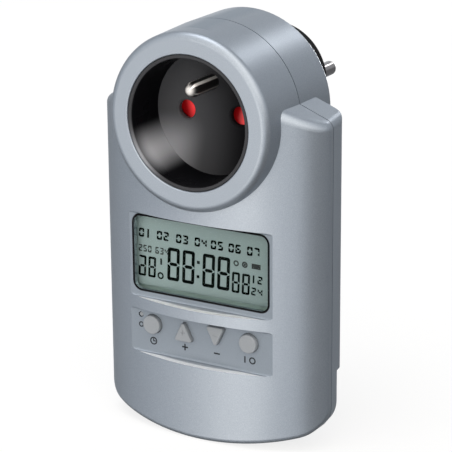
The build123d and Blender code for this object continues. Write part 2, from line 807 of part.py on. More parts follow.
def display_window():
    """The clear window: it stands in the opening of the panel and is held by a flange behind it."""
    lens = slab_y(window_shape(), panel_y + window_sink, panel_back_y)
    lens += slab_y(window_shape(window_flange), panel_back_y, panel_back_y + window_flange_thickness)
    return lens


def lcd_glass():
    """The liquid crystal cell: two glasses, the rear one longer at its foot, where its contacts are."""
    step = lcd_thickness / 2
    front_glass = plate(lcd_width, lcd_height - lcd_ledge, lcd_y, lcd_y + step, 0, window_z + lcd_ledge / 2)
    rear_glass = plate(lcd_width, lcd_height, lcd_y + step, lcd_back_y, 0, window_z)
    return front_glass + rear_glass


def lcd_holder():
    """The frame that presses the window and the display cell against the panel."""
    front = panel_back_y + window_flange_thickness
    outer = plate(lcd_width + 2 * holder_wall, lcd_height + 2 * holder_wall, front, display_board_y, 0,
                  window_z, holder_corner)
    seat = plate(lcd_width + 2 * seat_gap, lcd_height + 2 * seat_gap, front, display_board_y, 0, window_z)
    return outer - seat


def zebra_strip():
    """The soft strip that connects the display cell's lower edge to the display board."""
    low = lcd_low + zebra_rise
    return plate(lcd_width - zebra_height, zebra_height, lcd_back_y, display_board_y, 0,
                 low + zebra_height / 2)


def display_backing():
    """The pale reflector behind the display cell, on a foam pad that reaches the board."""
    low = lcd_low + zebra_rise + zebra_height + backing_room
    high = lcd_high - backing_room
    return plate(lcd_width - 2 * backing_room, high - low, lcd_back_y, display_board_y, 0,
                 (low + high) / 2)


def key_cap(name):
    """A key: its cap through the panel, a flange behind the panel and a stem that meets its switch."""
    x, shape, _ = key_places[name]
    face_y = panel_y - key_rise
    flange_y = panel_back_y + rest_gap
    stem_end = switch_front_y - stem_rise
    cap = slab_y(shape, face_y, flange_y)
    rim = cap.faces().sort_by(Axis.Y)[0].edges()
    cap = fillet(rim, key_edge_round)
    cap += rod(key_radius + flange_reach, flange_y, flange_y + flange_thickness)
    cap += rod(switch_stem_radius, flange_y + flange_thickness, stem_end)
    return Pos(x, 0, key_z) * cap


def key_stem(name):
    """The moving stem of a key switch."""
    x = key_places[name][0]
    start = switch_front_y - stem_rise
    return rod(switch_stem_radius, start, start + switch_stem_length, x, key_z)


def key_switches():
    """The bodies of the key switches, and of the small one behind the reset hole."""
    front = switch_front_y
    bodies = []
    for x, _, _ in key_places.values():
        body = plate(switch_size, switch_size, front, display_board_y, x, key_z)
        body -= rod(switch_stem_radius + turn_gap, front, display_board_y - switch_floor, x, key_z)
        bodies.append(body)
    z = socket_z - reset_drop
    small = plate(reset_switch_size, reset_switch_size, front, display_board_y, -reset_x, z)
    small -= rod(reset_radius + turn_gap, front, display_board_y - switch_floor, -reset_x, z)
    bodies.append(small)
    return Compound(children=[b.solids()[0] for b in bodies])


def reset_button():
    """The reset pin behind its small hole, which a pen tip pushes."""
    z = socket_z - reset_drop
    front = panel_y + reset_sink
    flange_y = panel_back_y + rest_gap
    pin = rod(reset_radius, front, display_board_y - switch_floor - 2 * key_travel, -reset_x, z)
    pin = fillet(pin.edges().filter_by(GeomType.CIRCLE).sort_by(Axis.Y)[0], reset_round)
    flange_end = flange_y + flange_thickness / 2
    return pin + rod(reset_radius + reset_flange_reach, flange_y, flange_end, -reset_x, z)


def board(width, top, bottom, front, posts):
    """A printed circuit board with a clearance hole at each post."""
    middle = socket_z - (top + bottom) / 2
    piece = plate(width, bottom - top, front, front + board_thickness, 0, middle, board_corner)
    for x, z in posts:
        piece -= rod(board_screw_radius + slide_gap, front, front + board_thickness, x, z)
    return piece


def display_board():
    """The board behind the panels, which carries the display, the keys and the clock."""
    return board(display_board_width, display_board_top, display_board_bottom, display_board_y,
                 display_posts)


def power_board():
    """The board with the relay and the supply, on posts of the rear shell."""
    return board(power_board_width, power_board_top, power_board_bottom, power_board_y, power_posts)


def board_screws():
    """The screws of both boards: the display board's come from behind, the power board's from the front."""
    screws = []
    for x, z in display_posts:
        seat = display_back_y
        shank = rod(board_screw_radius - thread_bite - pin_gap, seat - board_screw_length, seat, x, z)
        screws.append(shank + rod(board_screw_head, seat, seat + board_screw_height, x, z))
    for x, z in power_posts:
        seat = power_board_y
        shank = rod(board_screw_radius - thread_bite - pin_gap, seat, seat + board_screw_length, x, z)
        screws.append(shank + rod(board_screw_head, seat - board_screw_height, seat, x, z))
    return Compound(children=[s.solids()[0] for s in screws])


def case_screws():
    """The four screws that hold the case together, sunk in the rear shell."""
    screws = []
    seat = parting_y + lip_height
    for x, z in case_screw_places:
        shank = rod(screw_radius - thread_bite - pin_gap, seat - lip_height - screw_bite, seat, x, z)
        head = rod(screw_head_radius, seat, seat + screw_head_height, x, z)
        top = seat + screw_head_height
        slot = plate(screw_slot_width, screw_slot_length, top - screw_slot_depth, top, x, z)
        slot += plate(screw_slot_length, screw_slot_width, top - screw_slot_depth, top, x, z)
        screws.append(shank + head - slot)
    return Compound(children=[s.solids()[0] for s in screws])


def relay_base():
    """The base plate of the relay on the power board."""
    return plate(relay_width, relay_height, relay_foot_y, power_board_y, relay_x, relay_z, relay_corner)


def relay_cover():
    """The relay's dust cover, open towards its base."""
    front = power_board_y - relay_reach
    cover = plate(relay_width, relay_height, front, relay_foot_y, relay_x, relay_z, relay_corner)
    room = plate(relay_width - 2 * relay_skin, relay_height - 2 * relay_skin, front + relay_skin,
                 relay_foot_y, relay_x, relay_z)
    return cover - room


def relay_yoke():
    """The bent iron yoke with the core of the coil, and two ears that carry the armature's pivot."""
    yoke = plate(yoke_length, yoke_width, relay_foot_y - yoke_thickness, relay_foot_y, yoke_x, relay_z)
    yoke += plate(yoke_thickness, yoke_width, coil_end_y, relay_foot_y, armature_pivot_x, relay_z)
    yoke += rod(core_radius, coil_end_y, relay_foot_y, coil_x, relay_z)
    for side in (-1, 1):
        z = relay_z + side * (yoke_width - ear_thickness) / 2
        yoke += plate(2 * ear_reach, ear_thickness, armature_pivot_y - ear_reach, coil_end_y + ear_reach,
                      armature_pivot_x, z)
    return yoke - hinge_pin(pin_gap)


def hinge_pin(margin=0.0):
    """The armature's pivot, along Z."""
    return Pos(armature_pivot_x, armature_pivot_y, relay_z) * Cylinder(hinge_pin_radius + margin, yoke_width)


def relay_coil():
    """The wound bobbin on the core."""
    near = coil_end_y + coil_flange
    away = relay_foot_y - yoke_thickness
    wound = coil_radius - coil_flange
    bore = core_radius + winding_gap
    low = near + coil_flange
    high = away - coil_flange
    points = [(bore, near), (coil_radius, near), (coil_radius, low), (wound, low), (wound, high),
              (coil_radius, high), (coil_radius, away), (bore, away)]
    return turned(points, coil_x, relay_z)


def relay_armature():
    """The armature: an iron plate over the coil that rocks in the ears of the yoke."""
    away = coil_end_y - armature_gap
    arm = plate(armature_length, armature_width, away - armature_thickness, away,
                armature_x - armature_length / 2, relay_z)
    return arm + hinge_pin()


def relay_contacts():
    """The two fixed contact posts beside the coil."""
    near = coil_end_y + ear_reach
    x = relay_x - post_x_shift
    posts = [plate(post_thickness, post_width, near, relay_foot_y, x, relay_z + side * post_z_shift)
             for side in (-1, 1)]
    return Compound(children=[p.solids()[0] for p in posts])


def film_capacitor():
    """The interference suppression capacitor, a moulded box beside the relay."""
    box = plate(capacitor_high_x - capacitor_low_x, capacitor_height, power_board_y - capacitor_reach,
                power_board_y, (capacitor_low_x + capacitor_high_x) / 2, relay_z, relay_corner)
    return fillet(box.faces().sort_by(Axis.Y)[0].edges(), relay_corner / 2)


def lying_cylinder(radius, length, x, y, z):
    """A cylinder that lies along X."""
    return Pos(x, y, z) * Rot(0, 90, 0) * Cylinder(radius, length)


def varistor():
    """The surge arrester, a coated disc on edge beside the capacitor."""
    middle_y = power_board_y - varistor_radius
    disc = lying_cylinder(varistor_radius, varistor_thickness, varistor_x, middle_y, relay_z)
    return fillet(disc.edges().filter_by(GeomType.CIRCLE), varistor_round)


def fuse_resistor():
    """The fusible resistor of the supply, lying on the power board."""
    z = relay_z + supply_rise - resistor_radius
    body = lying_cylinder(resistor_radius, resistor_length, resistor_x, power_board_y - resistor_radius, z)
    return fillet(body.edges().filter_by(GeomType.CIRCLE), resistor_round)


def smoothing_capacitor():
    """The electrolytic capacitor of the supply, a short can standing on the power board."""
    can = rod(can_radius, power_board_y - can_reach, power_board_y, can_x, relay_z + supply_rise)
    return fillet(can.edges().filter_by(GeomType.CIRCLE).sort_by(Axis.Y)[0], can_round)


def controller_chip():
    """The controller under its round drop of resin, on the back of the display board."""
    drop = rod(chip_radius, display_back_y, display_back_y + chip_reach, 0, window_z)
    return fillet(drop.edges().filter_by(GeomType.CIRCLE).sort_by(Axis.Y)[-1], chip_round)


def quartz_can():
    """The clock's quartz, a small metal can lying on the back of the display board."""
    can = Pos(quartz_x, display_back_y + quartz_radius, window_z) * Cylinder(quartz_radius, quartz_length)
    return fillet(can.edges().filter_by(GeomType.CIRCLE), quartz_round)


def backup_cell():
    """The rechargeable button cell that keeps the clock going when the timer is unplugged."""
    back = display_back_y
    points = [(0, back), (cell_radius - cell_rim, back), (cell_radius, back + cell_rim),
              (cell_radius, back + cell_reach - cell_rim), (cell_radius - 2 * cell_rim, back + cell_reach),
              (0, back + cell_reach)]
    return turned(points, cell_x, window_z)


def board_header():
    """The pin header between the boards: an insulating bar with a row of pins."""
    z = socket_z - display_board_bottom + header_rise
    bar_y = display_back_y + header_bar
    header = plate(header_pins * header_pitch, header_bar, display_back_y, bar_y, header_x, z)
    for i in range(header_pins):
        x = header_x + (i - (header_pins - 1) / 2) * header_pitch
        header += plate(header_pin_width, header_pin_width, bar_y, power_board_y, x, z)
    return header


pieces = {
    "front_shell": front_shell,
    "rear_shell": rear_shell,
    "socket_cup": socket_cup,
    "contact_block": contact_block,
    "shutter": shutter,
    "shutter_spring": shutter_spring,
    "socket_live_contact": lambda: contact(1, True),
    "socket_neutral_contact": lambda: contact(-1, False),
    "socket_earth_pin": socket_earth_pin,
    "plug_base": plug_base,
    "plug_live_pin": lambda: plug_pin(1),
    "plug_neutral_pin": lambda: plug_pin(-1),
    "live_feed_bar": lambda: bar_with_rivet_hole(feed_bar(1), 1),
    "neutral_bar": lambda: bar_with_rivet_hole(neutral_bar(), -1),
    "plug_earth_spring": plug_earth_spring,
    "plug_earth_sleeve": plug_earth_sleeve,
    "display_window": display_window,
    "lcd_glass": lcd_glass,
    "lcd_holder": lcd_holder,
    "display_backing": display_backing,
    "zebra_strip": zebra_strip,
    "mode_button": lambda: key_cap("mode"),
    "up_button": lambda: key_cap("up"),
    "down_button": lambda: key_cap("down"),
    "ok_button": lambda: key_cap("ok"),
    "reset_button": reset_button,
    "mode_stem": lambda: key_stem("mode"),
    "up_stem": lambda: key_stem("up"),
    "down_stem": lambda: key_stem("down"),
    "ok_stem": lambda: key_stem("ok"),
    "key_switches": key_switches,
    "display_board": display_board,
    "power_board": power_board,
    "controller_chip": controller_chip,
    "quartz_can": quartz_can,
    "backup_cell": backup_cell,
    "board_header": board_header,
    "relay_base": relay_base,
    "relay_cover": relay_cover,
    "relay_yoke": relay_yoke,
    "relay_coil": relay_coil,
    "relay_armature": relay_armature,
    "relay_contacts": relay_contacts,
    "film_capacitor": film_capacitor,
    "varistor": varistor,
    "fuse_resistor": fuse_resistor,
    "smoothing_capacitor": smoothing_capacitor,
    "board_screws": board_screws,
    "case_screws": case_screws,
}

os.makedirs("parts", exist_ok=True)
for name, make in pieces.items():
    export_step(make(), f"parts/{name}.step")
    print(name)
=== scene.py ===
import math

import bmesh
import bpy
from mathutils import Matrix, Vector


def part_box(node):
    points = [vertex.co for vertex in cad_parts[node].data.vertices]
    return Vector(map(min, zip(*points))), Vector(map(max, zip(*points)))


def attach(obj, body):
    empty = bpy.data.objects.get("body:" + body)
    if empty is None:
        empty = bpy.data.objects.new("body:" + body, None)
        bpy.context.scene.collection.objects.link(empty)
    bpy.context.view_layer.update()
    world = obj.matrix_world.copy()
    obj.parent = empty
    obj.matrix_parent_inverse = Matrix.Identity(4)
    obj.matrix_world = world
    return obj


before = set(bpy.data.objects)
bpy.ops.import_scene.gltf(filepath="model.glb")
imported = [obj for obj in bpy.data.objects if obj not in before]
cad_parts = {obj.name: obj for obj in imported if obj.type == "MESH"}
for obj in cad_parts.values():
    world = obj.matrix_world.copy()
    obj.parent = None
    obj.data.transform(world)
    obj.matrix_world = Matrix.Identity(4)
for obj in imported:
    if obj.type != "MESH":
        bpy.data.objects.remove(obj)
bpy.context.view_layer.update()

# Camera. A long lens about 640 mm from the timer, a little to its right and above it.
# Its angle, distance and roll were solved from the round head, the entry holes and the edges of the case.
mm = 0.001
azimuth = math.radians(30.577)
elevation = math.radians(17.62)
roll = math.radians(-0.452)
distance = 642.07
aim = Vector((13.74, -57.5, -33.53)) * mm
towards_camera = Vector((math.sin(azimuth) * math.cos(elevation), -math.cos(azimuth) * math.cos(elevation),
                         math.sin(elevation)))
level = Vector((math.cos(azimuth), math.sin(azimuth), 0.0))
upright = towards_camera.cross(level)
picture_right = level * math.cos(roll) + upright * math.sin(roll)
picture_up = upright * math.cos(roll) - level * math.sin(roll)
camera = bpy.data.objects.new("camera", bpy.data.cameras.new("camera"))
camera.data.lens = 166.77
camera.data.sensor_width = 36.0
turn = Matrix((picture_right, picture_up, towards_camera)).transposed().to_4x4()
camera.matrix_world = Matrix.Translation(aim + towards_camera * distance * mm) @ turn
bpy.context.scene.collection.objects.link(camera)
bpy.context.scene.camera = camera


# Studio. A white table in a round white tent, whose lower wall is brightest in front and grey on both flanks.
# The bright part of the tent is a little warmer than the rest. One soft box hangs above the timer, and two
# small ones stand behind it.
class Wire:
    """A socket of a node tree. Arithmetic on it adds Math nodes."""

    def __init__(self, tree, socket):
        self.tree = tree
        self.socket = socket

    def math(self, operation, first, second=0.0):
        return self.tree.node("ShaderNodeMath", {"operation": operation}, {0: first, 1: second})

    def __add__(self, other):
        return self.math("ADD", self, other)

    def __sub__(self, other):
        return self.math("SUBTRACT", self, other)

    def __rsub__(self, other):
        return self.math("SUBTRACT", other, self)

    def __mul__(self, other):
        return self.math("MULTIPLY", self, other)

    def __pow__(self, other):
        return self.math("POWER", self, other)

    __radd__ = __add__
    __rmul__ = __mul__

    def high(self, other):
        """The higher of two values."""
        return self.math("MAXIMUM", self, other)

    def size(self):
        """The value without its sign."""
        return self.math("ABSOLUTE", self)

    def bearing(self, other):
        """The angle whose tangent is this over the other, in degrees."""
        return self.math("ARCTAN2", self, other) * (180.0 / math.pi)

    def between(self, low, high):
        """0 below low, 1 above high, and a soft step in between."""
        return self.tree.node("ShaderNodeMapRange", {"interpolation_type": "SMOOTHSTEP"},
                              {0: self, 1: low, 2: high})


class Tree:
    """A node tree: every node but Math comes from its one method."""

    def __init__(self, tree):
        self.tree = tree

    def node(self, kind, settings=None, inputs=None, output=0):
        """A node with its settings, such as a curve's stops, and then the values or links of its sockets."""
        made = self.tree.nodes.new(kind)
        for name, value in (settings or {}).items():
            if name == "stops":
                self.bend(made.mapping, value)
            else:
                setattr(made, name, value)
        for name, value in (inputs or {}).items():
            self.join(value, made.inputs[name])
        return Wire(self, made.outputs[output])

    def bend(self, mapping, stops):
        """Lays a curve through its stops. The curve comes with its first and its last one."""
        points = mapping.curves[0].points
        for place, height in stops[1:-1]:
            points.new(place, height)
        points[0].location = stops[0]
        points[-1].location = stops[-1]
        mapping.update()

    def join(self, value, socket):
        """Links a socket to a wire, or sets it to a number, a vector or a colour."""
        if isinstance(value, Wire):
            self.tree.links.new(value.socket, socket)
        elif socket.type == "RGBA":
            socket.default_value = (*value, 1.0)
        else:
            socket.default_value = value

    def mixed(self, mask, first, second):
        """A colour between two others."""
        return self.node("ShaderNodeMix", {"data_type": "RGBA"}, {0: mask, 6: first, 7: second}, 2)

    def seen(self):
        """1 for what the camera sees, straight or by way of metal and glass."""
        paths = [self.node("ShaderNodeLightPath", output=name)
                 for name in ("Is Camera Ray", "Is Glossy Ray", "Is Transmission Ray")]
        return paths[0].high(paths[1]).high(paths[2])


white = (1.0, 1.0, 1.0)
cool_light = (0.955, 1.0, 1.05)
warm_light = (1.05, 1.0, 0.93)
full_wall = 4.0
unseen_share = 0.7
floor_shade = 0.85
room = bpy.data.worlds.new("room")
room.use_nodes = True
room_tree = Tree(room.node_tree)
room_light = room.node_tree.nodes["Background"]
direction = room_tree.node("ShaderNodeTexCoord", output="Generated")
sideways, backwards, upwards = (room_tree.node("ShaderNodeSeparateXYZ", None, {0: direction}, axis)
                                for axis in "XYZ")
round_wall = sideways.bearing(0.0 - backwards) * (1 / 360) + 0.5


def wall(stops):
    """The brightness round the tent, from stops of a bearing in degrees and a strength."""
    placed = [(degrees / 360 + 0.5, strength / full_wall) for degrees, strength in stops]
    return room_tree.node("ShaderNodeFloatCurve", {"stops": placed}, {1: round_wall}) * full_wall


low_wall = wall([
    (-180, 0.4), (-164, 0.5), (-150, 1.1), (-138, 0.6), (-125, 0.4), (-100, 0.4), (-79, 0.6), (-63, 0.76),
    (-54, 0.98), (-41.6, 1.2), (-29, 1.7), (-17, 3.2), (-9, 3.7), (-3, 3.1), (4, 2.1), (12.4, 1.3),
    (26, 1.65), (38.7, 0.8), (50, 0.22), (95, 0.2), (152, 0.24), (180, 0.4)])
high_wall = wall([
    (-180, 0.55), (-150, 0.7), (-110, 0.5), (-80, 0.7), (-60, 1.1), (-36, 1.6), (0, 2.4), (20, 3.0),
    (48, 3.0), (65, 2.2), (88, 1.5), (115, 0.75), (150, 0.58), (180, 0.6)])
raised = upwards.between(-0.04, 0.2)
under_timer = 1.0 - upwards.between(-0.8, -0.3)
tent = (low_wall * (1.0 - raised) + high_wall * raised) * (1.0 - under_timer * floor_shade)
straight = room_tree.node("ShaderNodeLightPath", output="Is Camera Ray")
room_share = room_tree.seen() * (1.0 - unseen_share) + unseen_share
warmth = room_tree.mixed(tent.between(0.5, 2.6), cool_light, warm_light)
room_tree.join(tent * (1.0 - straight) * room_share + straight, room_light.inputs["Strength"])
room_tree.join(room_tree.mixed(straight, warmth, white), room_light.inputs["Color"])
bpy.context.scene.world = room
bpy.context.scene.view_settings.view_transform = "Standard"


def card(name, corners):
    """A flat card through its corners, in metres."""
    mesh = bpy.data.meshes.new(name)
    mesh.from_pydata(corners, [], [range(len(corners))])
    made = bpy.data.objects.new(name, mesh)
    bpy.context.scene.collection.objects.link(made)
    return made


table_half = 4.0
plain_white_share = 0.8
table_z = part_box("rear_shell")[0].z
table_top = card("table_top", [(side * table_half, end * table_half, table_z)
                               for side, end in ((-1, -1), (1, -1), (1, 1), (-1, 1))])
paper = bpy.data.materials.new("white_paper")
paper.use_nodes = True
paper_tree = Tree(paper.node_tree)
paper_tree.tree.nodes.remove(paper_tree.tree.nodes["Principled BSDF"])
lit_paper = paper_tree.node("ShaderNodeBsdfDiffuse", None, {"Color": (0.86, 0.86, 0.86)})
white_paper = paper_tree.node("ShaderNodeEmission", None, {"Color": white, "Strength": 1.0})
paper_mix = paper_tree.node("ShaderNodeMixShader", None,
                            {0: paper_tree.seen() * plain_white_share, 1: lit_paper, 2: white_paper})
paper_tree.join(paper_mix, paper_tree.tree.nodes["Material Output"].inputs["Surface"])
table_top.data.materials.append(paper)
table_top.visible_glossy = False


def lamp(name, place, aim_at, width, height, power):
    """A soft box that faces a point."""
    light = bpy.data.lights.new(name, "AREA")
    light.shape = "RECTANGLE"
    light.size = width
    light.size_y = height
    light.energy = power
    made = bpy.data.objects.new(name, light)
    aimed = (Vector(place) - Vector(aim_at)).to_track_quat("Z", "Y").to_matrix().to_4x4()
    made.matrix_world = Matrix.Translation(place) @ aimed
    bpy.context.scene.collection.objects.link(made)


lamp("rear_lamp", (0.15, 0.98, 0.64), (0.0, -0.03, 0.0), 0.2, 0.3, 1.2)
lamp("back_lamp", (-0.16, 1.05, -0.05), (0.0, 0.0, -0.06), 0.25, 0.2, 1.8)
lamp("top_lamp", (-0.25, -0.2, 1.1), (0.0, -0.04, -0.05), 0.6, 0.6, 5.0)


# Case. Two moulded halves, screwed together from behind, in silver-blue paint: metal flakes in satin lacquer.
# The two flat panels are duller than the bowed front. The ledges at their feet carry painted light: they are
# painted paler, and a painted highlight runs along their outer edges.
class Finish(Tree):
    """A material: what is the same all over is set on its shader, and what varies is linked to it."""

    def __init__(self, name, **settings):
        self.material = bpy.data.materials.new(name)
        self.material.use_nodes = True
        super().__init__(self.material.node_tree)
        self.shader = self.tree.nodes["Principled BSDF"]
        for socket, value in settings.items():
            self.paint(socket.replace("_", " "), value)
        self.place = self.node("ShaderNodeTexCoord", output="Object")

    def along(self, axis):
        """The distance along X, Y or Z, in metres."""
        return self.node("ShaderNodeSeparateXYZ", None, {0: self.place}, axis)

    def facing(self, axis):
        """How far the surface faces along X, Y or Z, from -1 to 1."""
        normal = self.node("ShaderNodeTexCoord", output="Normal")
        return self.node("ShaderNodeSeparateXYZ", None, {0: normal}, axis)

    def noise(self, scale, detail=2.0, stretch=(1.0, 1.0, 1.0)):
        """Cloudy values between 0 and 1; scale is in lumps per metre."""
        drawn = self.node("ShaderNodeVectorMath", {"operation": "MULTIPLY"}, {0: self.place, 1: stretch})
        return self.node("ShaderNodeTexNoise", None, {"Vector": drawn, "Scale": scale, "Detail": detail})

    def paint(self, socket, value):
        """Sets or links a socket of the shader."""
        self.join(value, self.shader.inputs[socket])

    def emboss(self, relief, depth, strength=1.0):
        """Bumps the surface by a relief between 0 and 1, depth metres high."""
        bump = self.node("ShaderNodeBump", None, {"Strength": strength, "Distance": depth, "Height": relief})
        self.paint("Normal", bump)

    def on(self, *names):
        """Puts the finish on CAD nodes."""
        for name in names:
            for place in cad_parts[name].material_slots:
                place.material = self.material


window_low, window_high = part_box("display_window")
window_sunk = 0.3 * mm
panel_y = window_low.y - window_sunk
panel_half = 26.0 * mm
panels_top = -36.0 * mm
panels_foot = -92.0 * mm
bow_half_width = 40.6 * mm
bow_depth = 16.5 * mm
bow_axis_y = panel_y + 12.64 * mm
silver = Finish("silver_paint", Metallic=0.7, Coat_Weight=0.15, Coat_Roughness=0.3)
flake = silver.noise(5200.0, 1.0)
cloud = silver.noise(55.0, 3.0)
inwards = silver.along("Y")
flat = 1.0 - silver.facing("X").size().between(0.05, 0.2)
on_panel = inwards.between(panel_y - 0.4 * mm, panel_y - 0.1 * mm) * flat
bow_level = (silver.along("X") * (1 / bow_half_width)) ** 2.0
bow_level = bow_level + ((inwards - bow_axis_y) * (1 / bow_depth)) ** 2.0
below_top = 1.0 - silver.along("Z").between(panels_top - 1.0 * mm, panels_top)
above_foot = silver.along("Z").between(panels_foot, panels_foot + 1.0 * mm)
off_ends = 1.0 - silver.along("X").size().between(panel_half, panel_half + 0.6 * mm)
off_corner = 1.0 - inwards.between(panel_y - 1.2 * mm, panel_y - 0.8 * mm)
ledge = silver.facing("Z").between(0.08, 0.3) * above_foot * below_top * off_ends * off_corner
# Painted light: the ledges a little paler all over, and a painted highlight along their outer edges.
painted_ledge_light = ledge * (bow_level.between(0.77, 0.86) * 0.8 + 0.2)
flakes = silver.mixed(flake.between(0.3, 0.75), (0.235, 0.265, 0.305), (0.30, 0.335, 0.385))
coat = silver.mixed(on_panel * 0.34, flakes, (0.12, 0.155, 0.19))
silver.paint("Base Color", silver.mixed(painted_ledge_light, coat, white))
silver.paint("Roughness", cloud * 0.07 + flake * 0.05 + on_panel * 0.25 + 0.34)
silver.emboss(flake * 0.6 + silver.noise(900.0) * 0.4, 0.01 * mm, 0.6)
silver.on("front_shell", "rear_shell")

# Outlet recess. A black moulded cup, held in the head from behind, with a finely eroded floor.
# Painted light lies on it at its lower left: a pale painted fan on the wall and across the floor. The left of
# the floor is painted lighter, and the rim carries a painted highlight.
cup_low, cup_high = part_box("socket_cup")
floor_thickness = 2.0 * mm
cup_floor = cup_high.y - floor_thickness
cup_mouth = cup_low.y
cup_z = -3.0 * mm
fan_angle = 144.0
fan_half_angle = 27.0
rim_half_angle = 36.0
cup = Finish("black_cup", Specular_IOR_Level=0.02)
cup_depth = cup.along("Y")
cup_rise = cup.along("Z") - cup_z
off_centre = (cup_rise ** 2.0 + cup.along("X") ** 2.0) ** 0.5
on_floor = cup_depth.between(cup_floor - 0.3 * mm, cup_floor - 0.1 * mm)
off_middle = (cup_rise.bearing(cup.along("X")) + fan_angle - on_floor * 4.0).size() * (1.0 - on_floor * 0.3)
fan = (1.0 - off_middle.between(0.0, fan_half_angle)) * off_centre.between(4.0 * mm, 26.0 * mm)
# Painted light: a pale fan across the lower left of the wall and the floor.
painted_fan_light = fan * (1.0 - on_floor * 0.4) * cup_depth.between(cup_floor - 18.0 * mm, cup_floor - 9.0 * mm)
# Painted light on the left of the floor.
grey = (1.0 - cup.along("X").between(-10.0 * mm, 14.0 * mm)) * on_floor
rim = 1.0 - cup_depth.between(cup_mouth + 0.3 * mm, cup_mouth + 0.7 * mm)
# Painted highlight on the rim, strongest towards the fan.
painted_rim_highlight = rim * (1.0 - off_middle.between(0.0, rim_half_angle) * 0.7)
painted_cup_light = painted_fan_light * 1.1 + grey * 0.13 + painted_rim_highlight * 0.3
cup.paint("Base Color", cup.mixed(painted_cup_light, (0.003, 0.003, 0.004), (0.50, 0.51, 0.55)))
cup.paint("Roughness", on_floor * 0.3 + cup.noise(120.0) * 0.06 + 0.25)
cup.emboss(cup.noise(2600.0, 3.0) * on_floor, 0.03 * mm, 0.5)
cup.on("socket_cup")

# Shutter. A glossy red moulding that turns on a hub behind the entry holes and closes both of them.
# Light and shade are painted into it: each hole is painted dark at its left and pale towards its right, and a
# painted glow makes it shine a little though it holds no lamp.
entry_x = 9.5 * mm
shaded_side = 2.2 * mm
pale_side = 1.6 * mm
red = Finish("red_shutter", Specular_IOR_Level=0.2, Emission_Strength=0.4)
from_left = red.along("X")
left_hole = from_left.between(-entry_x - shaded_side, -entry_x + pale_side)
left_hole = left_hole * (1.0 - from_left.between(-1.0 * mm, 1.0 * mm))
# Painted shade at the left of each hole and painted light towards its right.
painted_hole_light = left_hole + from_left.between(entry_x - shaded_side, entry_x + pale_side)
# The same painted light and shade also drives a painted glow.
for socket in ("Base Color", "Emission Color"):
    red.paint(socket, red.mixed(painted_hole_light, (0.16, 0.002, 0.003), (0.90, 0.05, 0.055)))
red.paint("Roughness", red.noise(350.0, 2.0, (1.0, 1.0, 0.3)) * 0.08 + 0.2)
red.on("shutter")


# Earth pin, plug pins and contacts. Turned brass or stamped strip, mostly plated; turning leaves fine rings.
# The earth pin's colour is a painted reflection of the black recess, with painted highlights along it and on
# its tip.
def plated(name, color, roughness, nodes, metallic=1.0):
    """Turned and plated metal with faint rings along Y."""
    made = Finish(name, Base_Color=color, Metallic=metallic)
    rings = made.noise(700.0, 3.0, (0.05, 4.0, 0.05))
    made.paint("Roughness", rings * 0.12 + roughness)
    made.emboss(rings, 0.006 * mm, 0.4)
    made.on(*nodes)
    return made


bright_nickel = (0.92, 0.89, 0.87)
painted_black_reflection = (0.012, 0.012, 0.012)
painted_highlight_lines = ((49.0, 15.0, 1.0), (108.0, 12.0, 0.35), (-28.0, 10.0, 0.2))
line_edge = 6.0
earth_low, earth_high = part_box("socket_earth_pin")
earth_pin = plated("nickel", bright_nickel, 0.3, ("socket_earth_pin",), 0.08)
pin_rise = earth_pin.along("Z") - (earth_low.z + earth_high.z) / 2
around = pin_rise.bearing(earth_pin.along("X"))
from_axis = (pin_rise ** 2.0 + earth_pin.along("X") ** 2.0) ** 0.5
on_tip = 1.0 - earth_pin.along("Y").between(earth_low.y, earth_low.y + 2.0 * mm)
# Painted highlights: a spot on the tip and narrow lines along the pin.
painted_pin_highlights = (1.0 - from_axis.between(0.6 * mm, 2.2 * mm)) * on_tip * 0.75
for middle, reach, share in painted_highlight_lines:
    painted_pin_highlights = painted_pin_highlights.high((1.0 - (around - middle).size().between(reach - line_edge, reach)) * share)
earth_pin.paint("Base Color", earth_pin.mixed(painted_pin_highlights, painted_black_reflection, bright_nickel))
plated("dull_nickel", (0.36, 0.34, 0.34), 0.16, ("plug_live_pin", "plug_neutral_pin", "plug_earth_sleeve"))
plated("spring_steel", (0.60, 0.60, 0.61), 0.22, ("shutter_spring", "plug_earth_spring"))
plated("contact_brass", (0.72, 0.53, 0.25), 0.25,
       ("socket_live_contact", "socket_neutral_contact", "live_feed_bar", "neutral_bar", "relay_contacts"))
plated("zinc", (0.55, 0.56, 0.58), 0.3, ("relay_yoke", "relay_armature", "case_screws", "board_screws"))
plated("tin", (0.66, 0.67, 0.68), 0.25, ("quartz_can", "backup_cell", "smoothing_capacitor"))


# Plug body and the mouldings inside. Thermosets and filled plastics with an eroded, matt skin.
# They are clamped between the halves of the case or soldered to a board. Only the plug body shows outside.
def moulded(name, color, roughness, nodes, grain=1800.0, depth=0.02 * mm, **settings):
    """Matt moulded plastic: slightly cloudy, with a fine eroded grain."""
    made = Finish(name, **settings)
    cloudy = made.noise(90.0, 3.0)
    darker = tuple(0.86 * part for part in color)
    made.paint("Base Color", made.mixed(cloudy, darker, color))
    made.paint("Roughness", cloudy * 0.1 + roughness - 0.05)
    made.emboss(made.noise(grain, 3.0), depth, 0.5)
    made.on(*nodes)


